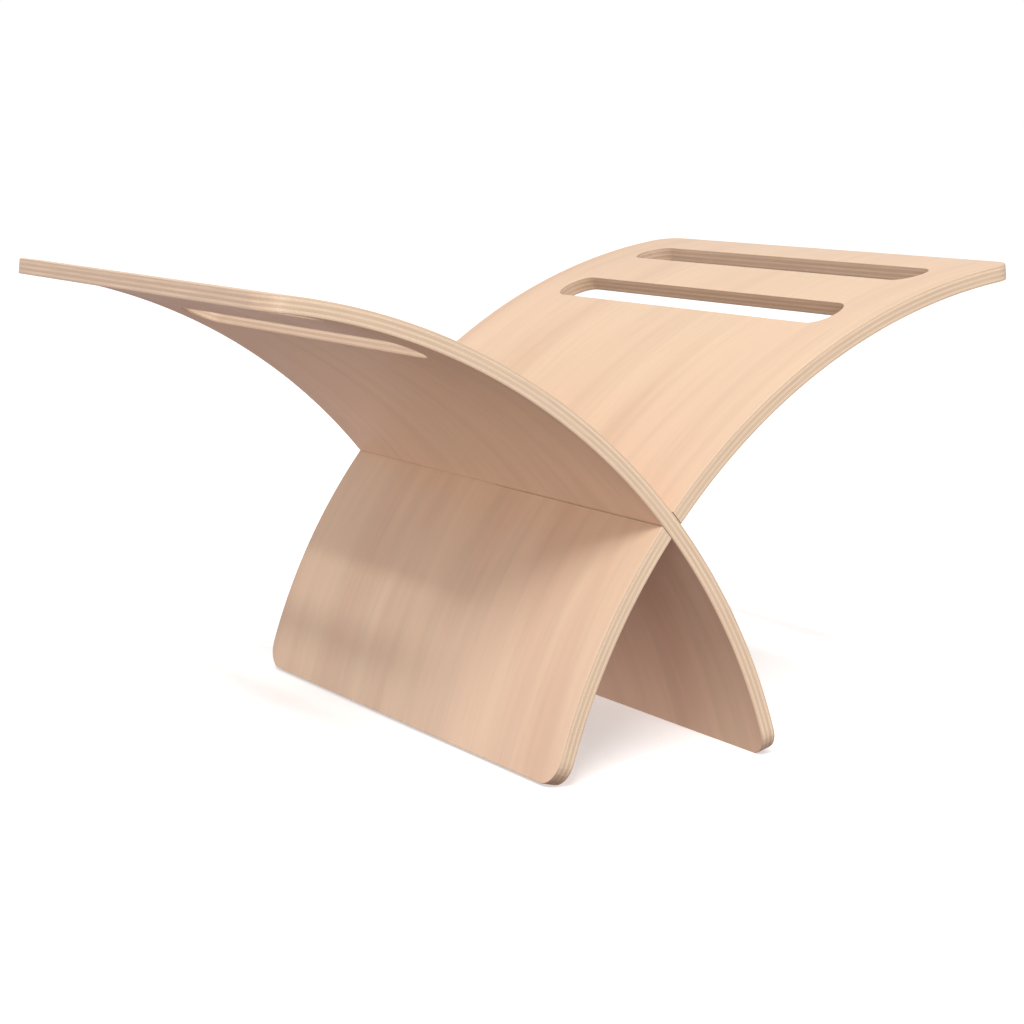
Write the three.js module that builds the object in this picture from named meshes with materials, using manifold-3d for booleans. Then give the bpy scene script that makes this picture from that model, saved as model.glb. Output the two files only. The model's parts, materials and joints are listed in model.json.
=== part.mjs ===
// Magazine rack: two identical moulded plywood panels that cross in an X.
// Each panel is one circular bend of seven veneers, with a slot sawn to mid width,
// and the two slots slide over each other as a cross-halving joint, with no fasteners.
// Millimetres, +Z up. The origin is on the floor under the crossing. +X runs towards
// the tip of the right panel and +Y from the front edges to the back edges.

import * as THREE from 'three';
import { mergeVertices } from 'three/addons/utils/BufferGeometryUtils.js';
import Module from 'manifold-3d';

const wasm = await Module();
wasm.setup();

// Driving dimensions of the one panel that is made twice
const PANEL_WIDTH = 300;
const FACE_VENEER = 0.85;
const INNER_VENEER = 1.2;
const BEND_RADIUS = 305;
const CROSSING_SLOPE = THREE.MathUtils.degToRad(50.5);
const ARM_LENGTH = 236.8;
const LEG_LENGTH = 131.5;
const CORNER_RADIUS = 13;

// Two long round-ended handle slots, by the distance of their middles from the tip
const HANDLE_LENGTH = 243;
const HANDLE_WIDTH = 22;
const HANDLE_DISTANCES = [36.8, 91.2];

// Fits: the halving slot stands clear of the other panel all round, the glue lines are
// left open, and the low edge of each foot is sanded to a narrow flat on the floor
const JOINT_CLEARANCE = 0.3;
const GLUE_LINE = 0.1;
const FOOT_LAND_DEPTH = 0.5;

// Facets: flats round the bend, and curve divisions on the corners and slot ends
const BEND_FACETS = 20;
const CURVE_DIVISIONS = 4;

// How far a cutter runs past what it cuts
const OVERCUT = 4;

// Veneers from the convex outer face to the hollow inner face, each with its share of
// the thickness
const LAY_UP = [
  { name: 'outer_face_veneer', wood: 'face', share: FACE_VENEER },
  { name: 'outer_crossband', wood: 'cross', share: INNER_VENEER },
  { name: 'outer_core_ply', wood: 'core', share: INNER_VENEER },
  { name: 'centre_crossband', wood: 'cross', share: INNER_VENEER },
  { name: 'inner_core_ply', wood: 'core', share: INNER_VENEER },
  { name: 'inner_crossband', wood: 'cross', share: INNER_VENEER },
  { name: 'inner_face_veneer', wood: 'face', share: FACE_VENEER },
];
const PANEL_THICKNESS = LAY_UP.reduce((sum, ply) => sum + ply.share, 0);

const WOODS = {
  face: new THREE.MeshStandardMaterial({ color: 0xf0cfa9, roughness: 0.55, metalness: 0 }),
  cross: new THREE.MeshStandardMaterial({ color: 0xecd6b4, roughness: 0.7, metalness: 0 }),
  core: new THREE.MeshStandardMaterial({ color: 0xd2ac7e, roughness: 0.7, metalness: 0 }),
};

// Slope of the panel at an arc length from the crossing, positive towards the tip
function slopeAt(arcLength) {
  return CROSSING_SLOPE - arcLength / BEND_RADIUS;
}

const TIP_SLOPE = slopeAt(ARM_LENGTH);
const FOOT_SLOPE = slopeAt(-LEG_LENGTH);
const INNER_RADIUS = BEND_RADIUS - PANEL_THICKNESS / 2;
const OUTER_RADIUS = BEND_RADIUS + PANEL_THICKNESS / 2;

// The crossing sits so high that the foot's inner edge dips under the floor by its land
const CROSSING_HEIGHT = BEND_RADIUS * Math.cos(CROSSING_SLOPE)
  - INNER_RADIUS * Math.cos(FOOT_SLOPE) - FOOT_LAND_DEPTH;

// Centre of the bend of the right panel, in X and Z
const BEND_CENTRE = new THREE.Vector2(
  BEND_RADIUS * Math.sin(CROSSING_SLOPE),
  CROSSING_HEIGHT - BEND_RADIUS * Math.cos(CROSSING_SLOPE),
);

// Point of the bend at a radius, where the panel has a slope
function bendPoint(radius, slope) {
  const x = BEND_CENTRE.x - radius * Math.sin(slope);
  const z = BEND_CENTRE.y + radius * Math.cos(slope);
  return new THREE.Vector2(x, z);
}

// Side outline of the bend between two radii, as flats of equal angle. A side of -1
// gives the outline of the left panel, which leans the other way.
function bendOutline(innerRadius, outerRadius, side) {
  const outer = [];
  const inner = [];
  for (let i = 0; i <= BEND_FACETS; i += 1) {
    const slope = THREE.MathUtils.lerp(FOOT_SLOPE, TIP_SLOPE, i / BEND_FACETS);
    outer.push(bendPoint(outerRadius, slope));
    inner.unshift(bendPoint(innerRadius, slope));
  }
  const points = [...outer, ...inner];
  return new THREE.Shape(points.map((point) => new THREE.Vector2(side * point.x, point.y)));
}

// A closed three.js geometry as a solid that can be cut
function solidOf(geometry) {
  geometry.deleteAttribute('normal');
  geometry.deleteAttribute('uv');
  const merged = mergeVertices(geometry);
  return new wasm.Manifold(new wasm.Mesh({
    numProp: 3,
    vertProperties: new Float32Array(merged.attributes.position.array),
    triVerts: new Uint32Array(merged.index.array),
  }));
}

function geometryOf(solid) {
  const mesh = solid.getMesh();
  const geometry = new THREE.BufferGeometry();
  geometry.setAttribute('position', new THREE.BufferAttribute(mesh.vertProperties, 3));
  geometry.setIndex(new THREE.BufferAttribute(mesh.triVerts, 1));
  geometry.computeVertexNormals();
  return geometry;
}

// A side outline drawn in X and Z, run along Y from the front to the back given
function runAlongWidth(outline, front, back) {
  const geometry = new THREE.ExtrudeGeometry(outline, { depth: back - front, bevelEnabled: false });
  geometry.rotateX(Math.PI / 2);
  geometry.translate(0, back, 0);
  return solidOf(geometry);
}

// A shape drawn in the panel's own plane, cut square through the panel. It is first
// turned in that plane, and its zero then goes to an arc length and a place along Y.
function squareCutter(shape, turn, arcLength, y) {
  const depth = PANEL_THICKNESS + 2 * OVERCUT;
  const geometry = new THREE.ExtrudeGeometry(shape, {
    depth,
    bevelEnabled: false,
    curveSegments: CURVE_DIVISIONS,
  });
  geometry.translate(0, 0, -depth / 2);
  geometry.rotateZ(turn);
  const slope = slopeAt(arcLength);
  const along = new THREE.Vector3(Math.cos(slope), 0, Math.sin(slope));
  const across = new THREE.Vector3(0, 1, 0);
  const outwards = new THREE.Vector3(-Math.sin(slope), 0, Math.cos(slope));
  const middle = bendPoint(BEND_RADIUS, slope);
  const place = new THREE.Matrix4().makeBasis(along, across, outwards);
  place.setPosition(middle.x, y, middle.y);
  geometry.applyMatrix4(place);
  return solidOf(geometry);
}

// Long slot with round ends, its length along Y
function handleShape() {
  const radius = HANDLE_WIDTH / 2;
  const endMiddle = HANDLE_LENGTH / 2 - radius;
  const shape = new THREE.Shape();
  shape.absarc(0, endMiddle, radius, 0, Math.PI, false);
  shape.absarc(0, -endMiddle, radius, Math.PI, 2 * Math.PI, false);
  return shape;
}

// What a rounded corner loses: the square corner at zero, outside its round
function cornerShape() {
  const shape = new THREE.Shape();
  shape.moveTo(-CORNER_RADIUS, OVERCUT);
  shape.lineTo(-CORNER_RADIUS, 0);
  shape.absarc(-CORNER_RADIUS, -CORNER_RADIUS, CORNER_RADIUS, Math.PI / 2, 0, true);
  shape.lineTo(OVERCUT, -CORNER_RADIUS);
  shape.lineTo(OVERCUT, OVERCUT);
  return shape;
}

function handleCutters() {
  return HANDLE_DISTANCES.map((distance) => (
    squareCutter(handleShape(), 0, ARM_LENGTH - distance, 0)
  ));
}

function cornerCutters() {
  const edge = PANEL_WIDTH / 2;
  return [
    squareCutter(cornerShape(), 0, ARM_LENGTH, edge),
    squareCutter(cornerShape(), -Math.PI / 2, ARM_LENGTH, -edge),
    squareCutter(cornerShape(), Math.PI / 2, -LEG_LENGTH, edge),
    squareCutter(cornerShape(), Math.PI, -LEG_LENGTH, -edge),
  ];
}

// The halving slot: the left panel's side outline with clearance, from the front edge
// to just past mid width
function halvingCutter() {
  const outline = bendOutline(
    INNER_RADIUS - JOINT_CLEARANCE,
    OUTER_RADIUS + JOINT_CLEARANCE,
    -1,
  );
  return runAlongWidth(outline, -PANEL_WIDTH / 2 - OVERCUT, JOINT_CLEARANCE / 2);
}

// Everything under the floor, under the foot of the right panel
function floorCutter() {
  const depth = FOOT_LAND_DEPTH + OVERCUT;
  const reach = BEND_RADIUS;
  const geometry = new THREE.BoxGeometry(reach, PANEL_WIDTH + 2 * OVERCUT, depth);
  geometry.translate(-reach / 2, 0, -depth / 2);
  return solidOf(geometry);
}

const CUTTERS = [
  ...handleCutters(),
  ...cornerCutters(),
  halvingCutter(),
  floorCutter(),
];

// One veneer of the right panel, counted from the outer face. Half of each glue line
// comes out of the veneer on either side of it.
function veneerGeometry(index) {
  const last = LAY_UP.length - 1;
  const above = LAY_UP.slice(0, index).reduce((sum, ply) => sum + ply.share, 0);
  const outerRadius = OUTER_RADIUS - above - (index === 0 ? 0 : GLUE_LINE / 2);
  const innerRadius = OUTER_RADIUS - above - LAY_UP[index].share
    + (index === last ? 0 : GLUE_LINE / 2);
  const outline = bendOutline(innerRadius, outerRadius, 1);
  let solid = runAlongWidth(outline, -PANEL_WIDTH / 2, PANEL_WIDTH / 2);
  for (const cutter of CUTTERS) {
    solid = solid.subtract(cutter);
  }
  return geometryOf(solid);
}

// A panel is its stack of veneers. The left panel is the same panel turned half round.
function panel(name, turn) {
  const group = new THREE.Group();
  LAY_UP.forEach((ply, index) => {
    const mesh = new THREE.Mesh(veneerGeometry(index), WOODS[ply.wood]);
    mesh.name = `${name}_${ply.name}`;
    group.add(mesh);
  });
  group.rotation.z = turn;
  return group;
}

const rack = new THREE.Group();
rack.add(panel('right', 0));
rack.add(panel('left', Math.PI));

export default rack;
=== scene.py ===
"""Magazine rack: two moulded plywood panels that cross in an X.

Each veneer of a panel is modelled flat, as it is cut, with its round corners and its
handle slots. It is then bent to the panel's curve, stood at its slope, and sawn for the
halving joint. The left panel is the right one, copied and turned half round.
Metres, in the frame of the CAD model: +Z up, the floor at zero, the crossing over it.
"""

import json
from math import atan2, cos, hypot, pi, radians, sin, tan

import bmesh
import bpy
from mathutils import Matrix, Vector


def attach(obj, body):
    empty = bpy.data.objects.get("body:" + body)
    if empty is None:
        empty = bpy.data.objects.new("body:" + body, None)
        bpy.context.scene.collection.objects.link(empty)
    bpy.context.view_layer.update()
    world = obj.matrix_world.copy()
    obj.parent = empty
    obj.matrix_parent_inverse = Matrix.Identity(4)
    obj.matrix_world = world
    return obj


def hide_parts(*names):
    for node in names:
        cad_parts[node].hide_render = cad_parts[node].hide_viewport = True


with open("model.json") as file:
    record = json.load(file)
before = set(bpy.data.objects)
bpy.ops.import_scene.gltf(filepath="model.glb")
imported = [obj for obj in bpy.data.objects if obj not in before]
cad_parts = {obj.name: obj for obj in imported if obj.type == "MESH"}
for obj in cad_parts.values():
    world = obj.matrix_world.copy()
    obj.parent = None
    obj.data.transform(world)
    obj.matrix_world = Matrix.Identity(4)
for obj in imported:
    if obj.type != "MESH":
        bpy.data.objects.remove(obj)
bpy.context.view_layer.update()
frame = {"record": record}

# The panel, as sawn and moulded, with its lengths along the bend from the crossing
PANEL_WIDTH = 0.300
FACE_VENEER = 0.00085
INNER_VENEER = 0.0012
BEND_RADIUS = 0.305
CROSSING_SLOPE = radians(50.5)
ARM_LENGTH = 0.2368
LEG_LENGTH = 0.1315
CORNER_RADIUS = 0.013
HANDLE_LENGTH = 0.243
HANDLE_WIDTH = 0.022
HANDLE_DISTANCES = (0.0368, 0.0912)  # from the tip to the middle of each slot
JOINT_CLEARANCE = 0.0003
FOOT_LAND_DEPTH = 0.0005
ARRIS = 0.0004
SCUFFED_LENGTH = 0.002

# Veneers from the convex outer face to the hollow inner face, by their thickness
LAY_UP = {
    "outer_face_veneer": FACE_VENEER,
    "outer_crossband": INNER_VENEER,
    "outer_core_ply": INNER_VENEER,
    "centre_crossband": INNER_VENEER,
    "inner_core_ply": INNER_VENEER,
    "inner_crossband": INNER_VENEER,
    "inner_face_veneer": FACE_VENEER,
}
PANEL_THICKNESS = sum(LAY_UP.values())

# How finely the curves are made
BEND_STRIPS = 116
CORNER_STEPS = 12
ARRIS_STEPS = 3

# How far a cutter runs past what it cuts, how far the halving slot's cutter runs each way
# along the bend, and how near two places count as one
OVERCUT = 0.004
HALVING_REACH = 0.012
TOUCHING = 1e-6

INNER_RADIUS = BEND_RADIUS - PANEL_THICKNESS / 2
FOOT_SLOPE = CROSSING_SLOPE + LEG_LENGTH / BEND_RADIUS
CROSSING_HEIGHT = (
    BEND_RADIUS * cos(CROSSING_SLOPE) - INNER_RADIUS * cos(FOOT_SLOPE) - FOOT_LAND_DEPTH
)


# ---------------------------------------------------------------- shaping the veneers


def deselect_all():
    for obj in bpy.context.selected_objects:
        obj.select_set(False)


def make_active(obj):
    deselect_all()
    obj.select_set(True)
    bpy.context.view_layer.objects.active = obj


def settle(obj):
    """Takes an object's place, turn and size into its mesh."""
    make_active(obj)
    bpy.ops.object.transform_apply(location=True, rotation=True, scale=True)


def apply_modifier(obj, kind, **settings):
    make_active(obj)
    modifier = obj.modifiers.new(kind.title(), kind)
    for name, value in settings.items():
        setattr(modifier, name, value)
    bpy.ops.object.modifier_apply(modifier=modifier.name)


def bevel_edges(obj, wanted, width, steps):
    """Rounds the edges that wanted(edge) picks."""
    make_active(obj)
    bpy.ops.object.mode_set(mode="EDIT")
    bpy.ops.mesh.select_mode(type="EDGE")
    bpy.ops.mesh.select_all(action="DESELECT")
    mesh = bmesh.from_edit_mesh(obj.data)
    for edge in mesh.edges:
        if wanted(edge):
            edge.select_set(True)
    bmesh.update_edit_mesh(obj.data)
    bpy.ops.mesh.bevel(offset=width, segments=steps, affect="EDGES", clamp_overlap=True)
    bpy.ops.object.mode_set(mode="OBJECT")


def runs_through(edge):
    """True for an edge that goes straight through the flat veneer, along X."""
    a, b = (vert.co for vert in edge.verts)
    return abs(a.x - b.x) > (a - b).length - TOUCHING


def flat_block(name, depths, widths, lengths):
    """A flat block: X through it, towards the hollow side, Y across, Z along the bend."""
    deselect_all()
    ranges = (depths, widths, lengths)
    centre = [(low + high) / 2 for low, high in ranges]
    size = [high - low for low, high in ranges]
    bpy.ops.mesh.primitive_cube_add(size=1, location=centre, scale=size)
    block = bpy.context.object
    block.name = name
    settle(block)
    return block


def handle_cutter(distance):
    """A block with round ends, through the whole panel, at a distance from the tip."""
    reach = PANEL_THICKNESS
    middle = ARM_LENGTH - distance
    cutter = flat_block(
        "handle_cutter",
        (-reach, reach),
        (-HANDLE_LENGTH / 2, HANDLE_LENGTH / 2),
        (middle - HANDLE_WIDTH / 2, middle + HANDLE_WIDTH / 2),
    )
    just_under_half = 0.499 * HANDLE_WIDTH
    bevel_edges(cutter, runs_through, just_under_half, 2 * CORNER_STEPS)
    return cutter


def cut(obj, cutter):
    apply_modifier(obj, "BOOLEAN", operation="DIFFERENCE", solver="EXACT", object=cutter)
    bpy.data.objects.remove(cutter)


def slice_along(obj, low, high, strips):
    """Cuts an object across into even strips, so that it can bend smoothly."""
    make_active(obj)
    bpy.ops.object.mode_set(mode="EDIT")
    bpy.ops.mesh.select_mode(type="VERT")
    for i in range(1, strips):
        height = low + (high - low) * i / strips
        bpy.ops.mesh.select_all(action="SELECT")
        bpy.ops.mesh.bisect(plane_co=(0, 0, height), plane_no=(0, 0, 1))
    bpy.ops.object.mode_set(mode="OBJECT")


def bend_and_stand(obj, low, high):
    """Bends a flat object between two lengths from the crossing, and stands it in place."""
    share = (high - low) / (ARM_LENGTH + LEG_LENGTH)
    slice_along(obj, low, high, round(BEND_STRIPS * share))
    apply_modifier(
        obj,
        "SIMPLE_DEFORM",
        deform_method="BEND",
        deform_axis="Y",
        angle=(high - low) / BEND_RADIUS,
    )
    obj.rotation_euler = (0, pi / 2 - CROSSING_SLOPE, 0)
    obj.location = (0, 0, CROSSING_HEIGHT)
    settle(obj)


def halving_cutter():
    """A short stretch of the left panel, a little too thick, from its front edge to mid width."""
    depth = PANEL_THICKNESS / 2 + JOINT_CLEARANCE
    back = PANEL_WIDTH / 2 + OVERCUT
    cutter = flat_block(
        "halving_cutter",
        (-depth, depth),
        (-JOINT_CLEARANCE / 2, back),
        (-HALVING_REACH, HALVING_REACH),
    )
    bend_and_stand(cutter, -HALVING_REACH, HALVING_REACH)
    cutter.rotation_euler = (0, 0, pi)
    settle(cutter)
    return cutter


def saw_foot(obj):
    """Takes off what is under the floor, which leaves a narrow flat on the foot."""
    make_active(obj)
    bpy.ops.object.mode_set(mode="EDIT")
    bpy.ops.mesh.select_all(action="SELECT")
    bpy.ops.mesh.bisect(
        plane_co=(0, 0, 0),
        plane_no=(0, 0, 1),
        use_fill=True,
        clear_inner=True,
        threshold=TOUCHING,
    )
    bpy.ops.object.mode_set(mode="OBJECT")


def flat_place(point):
    """Where a point of the right panel lay before bending: along, across and outwards."""
    centre_x = BEND_RADIUS * sin(CROSSING_SLOPE)
    centre_z = CROSSING_HEIGHT - BEND_RADIUS * cos(CROSSING_SLOPE)
    dx, dz = point.x - centre_x, point.z - centre_z
    slope = atan2(-dx, dz)
    return (CROSSING_SLOPE - slope) * BEND_RADIUS, point.y, hypot(dx, dz) - BEND_RADIUS


def write_flat_places(obj):
    """Keeps every vertex's flat place, which the grain of the wood follows."""
    attribute = obj.data.attributes.new("flat", "FLOAT_VECTOR", "POINT")
    for vert, value in zip(obj.data.vertices, attribute.data):
        value.vector = flat_place(vert.co)


def finish_surface(obj):
    make_active(obj)
    bpy.ops.object.shade_smooth_by_angle(angle=radians(40))
    apply_modifier(obj, "WEIGHTED_NORMAL", mode="FACE_AREA", weight=90, keep_sharp=True)


def soften_face_edges(obj, face):
    """Rounds the arris all round a face, its handle slots included."""

    def on_rim(edge):
        level = all(abs(vert.co.x - face) < TOUCHING for vert in edge.verts)
        return level and edge.calc_face_angle(0) > radians(60)

    bevel_edges(obj, on_rim, ARRIS, ARRIS_STEPS)


def veneer(low, high):
    """One veneer of the right panel, between two depths from the panel's middle."""
    edge = PANEL_WIDTH / 2
    piece = flat_block("veneer", (low, high), (-edge, edge), (-LEG_LENGTH, ARM_LENGTH))
    bevel_edges(piece, runs_through, CORNER_RADIUS, CORNER_STEPS)
    for distance in HANDLE_DISTANCES:
        cut(piece, handle_cutter(distance))
    for face in (low, high):
        if abs(face) > PANEL_THICKNESS / 2 - TOUCHING:
            soften_face_edges(piece, face)
    bend_and_stand(piece, -LEG_LENGTH, ARM_LENGTH)
    cut(piece, halving_cutter())
    saw_foot(piece)
    write_flat_places(piece)
    finish_surface(piece)
    return piece


# ---------------------------------------------------------------- materials


# The sockets of a Mix node that are for colours, which share their names with others
MIX_A, MIX_B, MIX_RESULT = 6, 7, 2


class Wood:
    """The node graph of one veneer's material, read on the flat places of its piece.

    Each leaf of veneer gets its own number, which moves the pattern, so no two are alike.
    What is handled goes from zero to one, in patches that hands have rubbed.
    """

    def __init__(self, name, leaf):
        self.material = bpy.data.materials.new(name)
        self.material.use_nodes = True
        self.tree = self.material.node_tree
        self.shader = self.tree.nodes["Principled BSDF"]
        shift = (0.7 * leaf, 0.37 * leaf, 0.11 * leaf)
        flat = self.add("ShaderNodeAttribute", attribute_name="flat").outputs["Vector"]
        parts = self.add("ShaderNodeSeparateXYZ", {"Vector": flat}).outputs
        self.along, self.across, self.depth = parts["X"], parts["Y"], parts["Z"]
        moved = self.add("ShaderNodeMapping", {"Vector": flat, "Location": shift})
        self.place = moved.outputs["Vector"]
        self.handled = self.rise(self.noise((14, 11, 12), 2, 0.6, 0.8), 0.4, 0.7)

    def add(self, kind, inputs=None, **settings):
        node = self.tree.nodes.new(kind)
        for name, value in settings.items():
            setattr(node, name, value)
        for name, value in (inputs or {}).items():
            self.put(node.inputs[name], value)
        return node

    def put(self, socket, value):
        if isinstance(value, bpy.types.NodeSocket):
            self.tree.links.new(value, socket)
        else:
            socket.default_value = value

    def math(self, operation, *values):
        node = self.add("ShaderNodeMath", operation=operation)
        for socket, value in zip(node.inputs, values):
            self.put(socket, value)
        return node.outputs["Value"]

    def rise(self, value, low, high, bottom=0.0, top=1.0):
        """Goes smoothly from bottom to top while value goes from low to high."""
        inputs = {"Value": value, "From Min": low, "From Max": high}
        inputs.update({"To Min": bottom, "To Max": top})
        node = self.add("ShaderNodeMapRange", inputs, interpolation_type="SMOOTHSTEP")
        return node.outputs["Result"]

    def noise(self, scale, detail, roughness=0.5, distortion=0.0):
        """Noise stretched over the flat places: scale is cycles a metre along, across, in."""
        mapped = self.add("ShaderNodeMapping", {"Vector": self.place, "Scale": scale})
        inputs = {"Vector": mapped.outputs["Vector"], "Scale": 1.0, "Detail": detail}
        inputs.update({"Roughness": roughness, "Distortion": distortion})
        return self.add("ShaderNodeTexNoise", inputs).outputs["Fac"]

    def mix(self, factor, a, b, blend="MIX"):
        node = self.add("ShaderNodeMix", {"Factor": factor}, data_type="RGBA", blend_type=blend)
        self.put(node.inputs[MIX_A], a)
        self.put(node.inputs[MIX_B], b)
        return node.outputs[MIX_RESULT]

    def tint(self, colour, factor):
        """Multiplies a colour by a plain number."""
        grey = self.add("ShaderNodeCombineColor", {"Red": factor, "Green": factor, "Blue": factor})
        return self.mix(1.0, colour, grey.outputs["Color"], "MULTIPLY")


# Face veneers, by the tints that drift along them
FACE_PINK = (0.797, 0.574, 0.407, 1)
FACE_STRAW = (0.805, 0.592, 0.413, 1)
HEART_RED = (0.700, 0.462, 0.323, 1)
RUBBED_TAN = (0.700, 0.520, 0.365, 1)

# Edges of the plies: the long sides of a panel, then its ends and handle slots
EDGE_TAN = (0.708, 0.541, 0.378, 1)
EDGE_CREAM = (0.823, 0.656, 0.480, 1)
END_BROWN = (0.600, 0.432, 0.300, 1)
END_CREAM = (0.705, 0.535, 0.395, 1)


def side_of_panel(wood):
    """One on the long side edges, zero on the ends and slots, changing round the corners."""
    distance = wood.math("ABSOLUTE", wood.across)
    edge = PANEL_WIDTH / 2
    return wood.rise(distance, edge - 0.3 * CORNER_RADIUS, edge)


def glue_shade(wood, low, high):
    """Darkens an edge a little towards the glue lines on both sides of the veneer."""
    off = wood.math("ABSOLUTE", wood.math("ADD", wood.depth, (low + high) / 2))
    thickness = high - low
    return wood.rise(off, 0.34 * thickness, 0.5 * thickness, 1.0, 0.91)


def scuffed(wood, colour):
    """Greys the end of the foot a little, in marks, where it meets the floor."""
    foot = -LEG_LENGTH
    low = wood.rise(wood.along, foot + 0.2 * SCUFFED_LENGTH, foot + SCUFFED_LENGTH, 1.0, 0.0)
    marks = wood.rise(wood.noise((300, 160, 300), 2), 0.45, 0.6)
    return wood.tint(colour, wood.rise(wood.math("MULTIPLY", low, marks), 0, 1, 1.0, 0.94))


def finish_wood(wood, colour, relief, roughness):
    """Lacquers a veneer: raised grain under a thin coat, and smoother where hands touch it."""
    polish = wood.rise(wood.handled, 0, 1, 0.02, -0.05)
    bump = wood.add("ShaderNodeBump", {"Strength": 0.35, "Distance": 0.0001, "Height": relief})
    wood.put(wood.shader.inputs["Base Color"], scuffed(wood, colour))
    wood.put(wood.shader.inputs["Roughness"], wood.math("ADD", roughness, polish))
    wood.put(wood.shader.inputs["Normal"], bump.outputs["Normal"])
    wood.put(wood.shader.inputs["Coat Weight"], 0.12)
    wood.put(wood.shader.inputs["Coat Roughness"], 0.35)
    return wood.material


def ply_edge(wood, end_colour, side_colour, fibres, low, high):
    """The sawn and sanded edge of one veneer, with its fibres, glue lines and handling."""
    edge = wood.mix(side_of_panel(wood), end_colour, side_colour)
    edge = wood.tint(edge, wood.rise(fibres, 0.3, 0.7, 0.93, 1.05))
    edge = wood.tint(edge, glue_shade(wood, low, high))
    return wood.tint(edge, wood.rise(wood.handled, 0, 1, 0.97, 1.03))


def sliced_face(wood, fibres, flecks):
    """The show face: soft clouds and reddish heart, then streaks, fine lines and flecks."""
    clouds = wood.noise((2.5, 9, 9), 2, 0.5, 0.6)
    heart = wood.noise((2.6, 17, 20), 2, 0.5, 0.8)
    streaks = wood.noise((4.5, 60, 60), 3, 0.6, 0.7)
    lines = wood.noise((8, 260, 120), 2, 0.5, 0.4)
    colour = wood.mix(wood.rise(clouds, 0.36, 0.64), FACE_PINK, FACE_STRAW)
    colour = wood.mix(wood.rise(heart, 0.48, 0.72, 0.0, 0.55), colour, HEART_RED)
    colour = wood.tint(colour, wood.rise(streaks, 0.34, 0.60, 0.960, 1.012))
    colour = wood.tint(colour, wood.rise(lines, 0.36, 0.58, 0.985, 1.005))
    colour = wood.tint(colour, wood.rise(fibres, 0.3, 0.7, 0.985, 1.01))
    return wood.tint(colour, wood.rise(flecks, 0.70, 0.78, 1.0, 0.93))


def face_wood(name, leaf, low, high):
    """Pale sliced veneer, its grain along the bend, with a rubbed arris round its face."""
    wood = Wood(name, leaf)
    fibres = wood.noise((45, 1900, 900), 2)
    flecks = wood.noise((260, 2600, 900), 1)
    under = wood.math("SUBTRACT", PANEL_THICKNESS / 2, wood.math("ABSOLUTE", wood.depth))
    edge = ply_edge(wood, END_BROWN, EDGE_TAN, fibres, low, high)
    sawn = wood.rise(under, 0.2 * ARRIS, 0.75 * ARRIS)
    colour = wood.mix(sawn, sliced_face(wood, fibres, flecks), edge)
    off_face = wood.rise(under, 0.05 * ARRIS, 0.25 * ARRIS)
    above_edge = wood.rise(under, 0.75 * ARRIS, 1.25 * ARRIS, 1.0, 0.0)
    arris = wood.math("MULTIPLY", off_face, above_edge)
    worn = wood.math("MULTIPLY", arris, wood.rise(wood.handled, 0, 1, 0.3, 0.8))
    colour = wood.mix(worn, colour, RUBBED_TAN)
    relief = wood.math("ADD", fibres, wood.math("MULTIPLY", flecks, -0.4))
    dullness = wood.math("MULTIPLY", worn, 0.12)
    roughness = wood.math("ADD", wood.rise(fibres, 0.2, 0.8, 0.55, 0.48), dullness)
    return finish_wood(wood, colour, relief, roughness)


def core_wood(name, leaf, low, high):
    """Long-grain ply, seen only on edges: tan along the sides, end grain on the ends."""
    wood = Wood(name, leaf)
    fibres = wood.noise((40, 1500, 1500), 3, 0.6)
    edge = ply_edge(wood, END_BROWN, EDGE_TAN, fibres, low, high)
    return finish_wood(wood, edge, fibres, wood.rise(fibres, 0.2, 0.8, 0.68, 0.58))


def cross_wood(name, leaf, low, high):
    """Cross-grain ply, seen only on edges: cream end grain along the sides."""
    wood = Wood(name, leaf)
    fibres = wood.noise((1500, 40, 1500), 3, 0.6)
    edge = ply_edge(wood, END_CREAM, EDGE_CREAM, fibres, low, high)
    return finish_wood(wood, edge, fibres, wood.rise(fibres, 0.2, 0.8, 0.72, 0.6))


WOODS = {
    "face_veneer": face_wood,
    "core_ply": core_wood,
    "crossband": cross_wood,
}
SLOT_OF_NODE = {part["node"]: part["material_slot"] for part in frame["record"]["subparts"]}


# ---------------------------------------------------------------- the rack


def dress(piece, node, body, leaf, low, high):
    """Gives a finished veneer its name, its wood, its body and the CAD node it stands for."""
    slot = SLOT_OF_NODE[node]
    piece.name = f"{node}_fine"
    piece.data.materials.clear()
    piece.data.materials.append(WOODS[slot](node, leaf, low, high))
    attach(piece, body)
    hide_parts(node)


def copy_turned(piece):
    """A copy with its own mesh, turned half round about the vertical through the crossing."""
    turned = piece.copy()
    turned.data = piece.data.copy()
    bpy.context.collection.objects.link(turned)
    turned.rotation_euler = (0, 0, pi)
    settle(turned)
    return turned


def build_rack():
    low = -PANEL_THICKNESS / 2
    for leaf, (ply, thickness) in enumerate(LAY_UP.items(), start=1):
        high = low + thickness
        right = veneer(low, high)
        left = copy_turned(right)
        dress(right, f"right_{ply}", "right_panel", leaf, low, high)
        dress(left, f"left_{ply}", "left_panel", leaf + len(LAY_UP), low, high)
        low = high


# ---------------------------------------------------------------- studio


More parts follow.
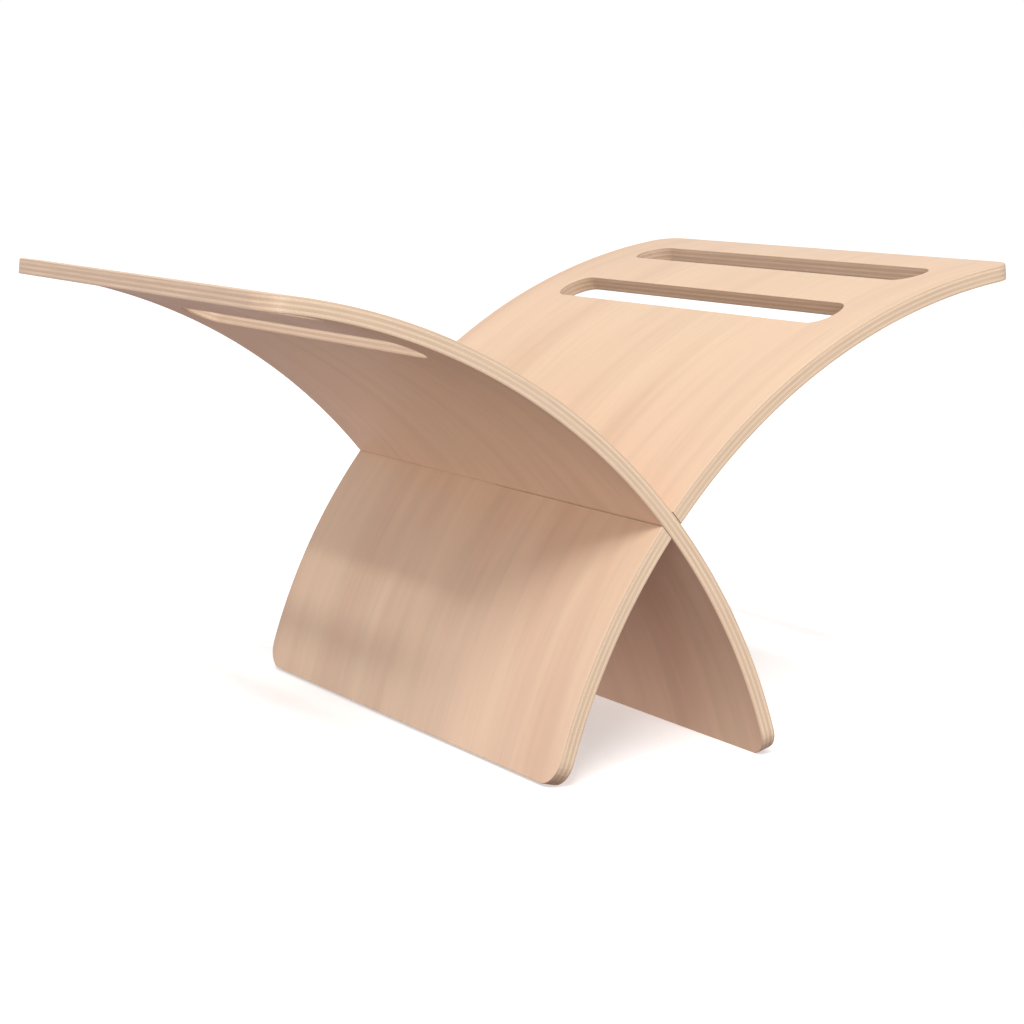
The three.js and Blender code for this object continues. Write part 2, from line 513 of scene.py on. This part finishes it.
def pale_floor():
    """A white floor that glows a little and throws no colour back onto the wood."""
    deselect_all()
    bpy.ops.mesh.primitive_plane_add(size=40, location=(0, 0, 0))
    floor = bpy.context.object
    floor.name = "floor"
    floor.visible_diffuse = False
    floor.visible_glossy = False
    paint = bpy.data.materials.new("floor_paint")
    paint.use_nodes = True
    shader = paint.node_tree.nodes["Principled BSDF"]
    shader.inputs["Base Color"].default_value = (0.88, 0.88, 0.88, 1)
    shader.inputs["Roughness"].default_value = 0.9
    shader.inputs["Specular IOR Level"].default_value = 0.1
    shader.inputs["Emission Color"].default_value = (1, 1, 1, 1)
    shader.inputs["Emission Strength"].default_value = 0.46
    floor.data.materials.append(paint)


# The room's light by height, from straight down (-1) to straight up (1)
ROOM_STRENGTH = 2.0
ROOM_LIGHT = (
    (-0.75, (0.02, 0.015, 0.015)),
    (-0.62, (0.390, 0.300, 0.285)),
    (-0.28, (0.425, 0.345, 0.330)),
    (-0.10, (0.50, 0.49, 0.49)),
    (0.04, (0.51, 0.505, 0.505)),
    (0.15, (0.475, 0.440, 0.425)),
    (0.30, (0.33, 0.32, 0.325)),
    (0.62, (0.22, 0.22, 0.23)),
    (0.82, (0.17, 0.17, 0.17)),
    (0.92, (0.60, 0.56, 0.53)),
)


def white_room():
    """Light from all round: white at the horizon, bright overhead and dim underfoot."""
    world = bpy.data.worlds.new("white_room")
    bpy.context.scene.world = world
    world.use_nodes = True
    tree = world.node_tree
    background = tree.nodes["Background"]
    where = tree.nodes.new("ShaderNodeTexCoord")
    parts = tree.nodes.new("ShaderNodeSeparateXYZ")
    height = tree.nodes.new("ShaderNodeMapRange")
    height.inputs["From Min"].default_value = -1
    ramp = tree.nodes.new("ShaderNodeValToRGB")
    stops = ramp.color_ramp.elements
    stops.remove(stops[1])
    for i, (z, colour) in enumerate(ROOM_LIGHT):
        stop = stops[0] if i == 0 else stops.new((z + 1) / 2)
        stop.position = (z + 1) / 2
        stop.color = (*colour, 1)
    tree.links.new(where.outputs["Generated"], parts.inputs["Vector"])
    tree.links.new(parts.outputs["Z"], height.inputs["Value"])
    tree.links.new(height.outputs["Result"], ramp.inputs["Fac"])
    tree.links.new(ramp.outputs["Color"], background.inputs["Color"])
    background.inputs["Strength"].default_value = ROOM_STRENGTH


def key_light():
    """A long soft box, high in front and to the left, its length along Y."""
    azimuth = radians(-125)
    elevation = radians(50)
    distance = 6.0
    half_length, half_width = radians(12), radians(3.4)
    brightness = 0.65
    flat = cos(elevation)
    back = Vector((flat * cos(azimuth), flat * sin(azimuth), sin(elevation)))
    length = (Vector((0, 1, 0)) - back * back.y).normalized()
    turn = Matrix((length, back.cross(length), back)).transposed()
    bpy.ops.object.light_add(
        type="AREA",
        location=Vector((0, 0, CROSSING_HEIGHT)) + back * distance,
        rotation=turn.to_euler(),
    )
    lamp = bpy.context.object
    lamp.name = "key_light"
    lamp.data.shape = "RECTANGLE"
    lamp.data.size = 2 * distance * tan(half_length)
    lamp.data.size_y = 2 * distance * tan(half_width)
    lamp.data.energy = brightness * (pi * distance) ** 2


def studio():
    pale_floor()
    white_room()
    key_light()


def camera():
    """A long lens from the front left, looking a little down on the rack."""
    left, front, above_crossing = 0.62923, 1.06226, 0.18431
    looking_down, heading_right = 9.153, 30.814
    bpy.ops.object.camera_add(
        location=(-left, -front, CROSSING_HEIGHT + above_crossing),
        rotation=(radians(90 - looking_down), 0, radians(-heading_right)),
    )
    eye = bpy.context.object
    eye.name = "camera"
    eye.data.sensor_width = 36
    eye.data.lens = 86.47
    eye.data.clip_start = 0.05
    eye.data.clip_end = 60
    bpy.context.scene.camera = eye


def plain_tones():
    view = bpy.context.scene.view_settings
    view.view_transform = "Standard"
    view.look = "None"


camera()
build_rack()
studio()
plain_tones()
